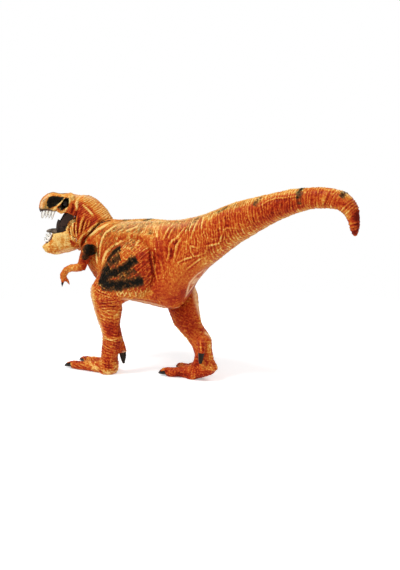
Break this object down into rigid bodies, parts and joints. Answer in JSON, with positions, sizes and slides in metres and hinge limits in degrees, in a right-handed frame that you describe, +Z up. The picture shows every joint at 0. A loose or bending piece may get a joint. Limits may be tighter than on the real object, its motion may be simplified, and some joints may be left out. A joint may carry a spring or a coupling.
{
  "type": "toy dinosaur figure",
  "caption": "Striding two-legged meat-eating dinosaur toy with turning neck, hinged open jaw, small clawed arms, swinging legs and a raised tail.",
  "frame": {"origin": "centre of the figure's box, on the floor that its soles stand on", "axes": "+Y runs back along the body to the tail, -Y is the way it walks, +X is its left side, +Z is up"},
  "size_m": [0.0656, 0.2674, 0.155],
  "materials": {
    "torso_vinyl": "orange vinyl sprayed red-brown, yellow and black, satin",
    "head_vinyl": "orange vinyl sprayed red-brown, yellow and black, satin",
    "neck_peg_plastic": "black plastic",
    "jaw_vinyl": "orange-yellow vinyl, satin",
    "pin_steel": "drawn wire",
    "palate_lining": "dark purple-grey, matt",
    "mouth_floor_lining": "dark purple-grey, matt",
    "tongue_vinyl": "dark grey vinyl",
    "upper_teeth_plastic": "white",
    "lower_teeth_plastic": "white",
    "left_eye_plastic": "glossy black",
    "right_eye_plastic": "glossy black",
    "left_arm_vinyl": "orange vinyl sprayed red-brown, yellow and black, satin",
    "right_arm_vinyl": "orange vinyl sprayed red-brown, yellow and black, satin",
    "left_shoulder_peg_plastic": "black plastic",
    "right_shoulder_peg_plastic": "black plastic",
    "left_leg_vinyl": "orange vinyl sprayed red-brown, yellow and black, satin",
    "right_leg_vinyl": "orange vinyl sprayed red-brown, yellow and black, satin",
    "left_hip_peg_plastic": "black plastic",
    "right_hip_peg_plastic": "black plastic"
  },
  "bodies": {
    "trunk": {"torso": "torso_vinyl", "neck_peg": "neck_peg_plastic", "left_hip_peg": "left_hip_peg_plastic", "right_hip_peg": "right_hip_peg_plastic", "left_shoulder_peg": "left_shoulder_peg_plastic", "right_shoulder_peg": "right_shoulder_peg_plastic"},
    "skull": {"head": "head_vinyl", "palate": "palate_lining", "upper_teeth": "upper_teeth_plastic", "left_eye": "left_eye_plastic", "right_eye": "right_eye_plastic", "jaw_hinge_pin": "pin_steel"},
    "jaw": {"lower_jaw": "jaw_vinyl", "mouth_floor": "mouth_floor_lining", "tongue": "tongue_vinyl", "lower_teeth": "lower_teeth_plastic"},
    "left_arm_body": {"left_arm": "left_arm_vinyl"},
    "right_arm_body": {"right_arm": "right_arm_vinyl"},
    "left_leg_body": {"left_leg": "left_leg_vinyl"},
    "right_leg_body": {"right_leg": "right_leg_vinyl"}
  },
  "joints": [
    {"name": "neck_turn", "type": "hinge", "parent": "trunk", "child": "skull", "pos_m": [0.00027, -0.09643, 0.10786], "axis": [0, -0.7722, 0.6354], "range_deg": [-35, 35]},
    {"name": "jaw_hinge", "type": "hinge", "parent": "skull", "child": "jaw", "pos_m": [0.00926, -0.11017, 0.11248], "axis": [-0.7071, -0.7071, 0], "range_deg": [0, 32]},
    {"name": "left_shoulder_turn", "type": "hinge", "parent": "trunk", "child": "left_arm_body", "pos_m": [0.00027, -0.08929, 0.09861], "axis": [-1, 0, 0], "range_deg": [-35, 15]},
    {"name": "right_shoulder_turn", "type": "hinge", "parent": "trunk", "child": "right_arm_body", "pos_m": [0.00027, -0.08929, 0.09861], "axis": [-1, 0, 0], "range_deg": [-30, 45]},
    {"name": "left_hip_turn", "type": "hinge", "parent": "trunk", "child": "left_leg_body", "pos_m": [0.00027, -0.04927, 0.088], "axis": [-1, 0, 0], "range_deg": [-30, 20]},
    {"name": "right_hip_turn", "type": "hinge", "parent": "trunk", "child": "right_leg_body", "pos_m": [0.00027, -0.04927, 0.088], "axis": [-1, 0, 0], "range_deg": [-20, 30]}
  ]
}
